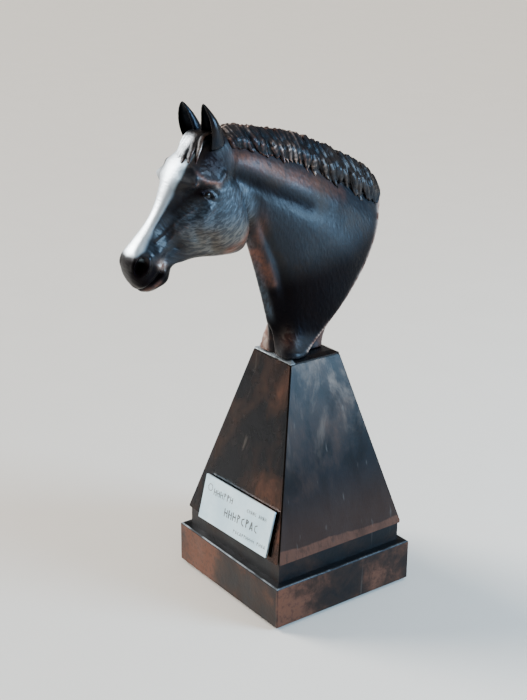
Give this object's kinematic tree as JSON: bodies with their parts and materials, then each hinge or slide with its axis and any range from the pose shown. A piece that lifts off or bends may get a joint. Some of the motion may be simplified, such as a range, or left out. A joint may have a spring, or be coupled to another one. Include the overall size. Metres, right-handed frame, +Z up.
{
  "type": "horse-head column trophy",
  "caption": "Trophy with a cast horse's head and neck on a tapered four-panel column, a recessed collar and a square plinth, with a blank nameplate.",
  "frame": {"origin": "centre of the felt's underside, where the trophy rests", "axes": "+Z up; the horse and the nameplate face -Y; the horse's left side is +X"},
  "size_m": [0.1, 0.1745, 0.298],
  "materials": {
    "patina_copper": "blackened copper, rubbed back in patches, under satin lacquer",
    "dark_bronze": "blue-black patina with copper showing on the ridges, glossy lacquer",
    "cap_metal": "blackened metal, satin lacquer",
    "silver_plate": "fine brushed, engraved",
    "core_wood": "sealed dark",
    "foam_tape": "matt foam",
    "zinc_steel": "zinc plated",
    "insert_brass": "machined",
    "felt": "matt felt"
  },
  "bodies": {
    "root": {"base_felt": "felt", "plinth": "patina_copper", "collar": "patina_copper", "column_core": "core_wood", "front_panel": "patina_copper", "left_panel": "patina_copper", "rear_panel": "patina_copper", "right_panel": "patina_copper", "cap_plate": "cap_metal", "nameplate_tape": "foam_tape", "nameplate": "silver_plate", "horse_bust": "dark_bronze", "tie_rod": "zinc_steel", "rod_washer": "zinc_steel", "rod_nut": "zinc_steel", "bust_insert": "insert_brass", "base_screw_1": "zinc_steel", "base_screw_2": "zinc_steel", "base_screw_3": "zinc_steel", "base_screw_4": "zinc_steel", "rear_locating_pin": "zinc_steel", "front_locating_pin": "zinc_steel"}
  },
  "joints": []
}
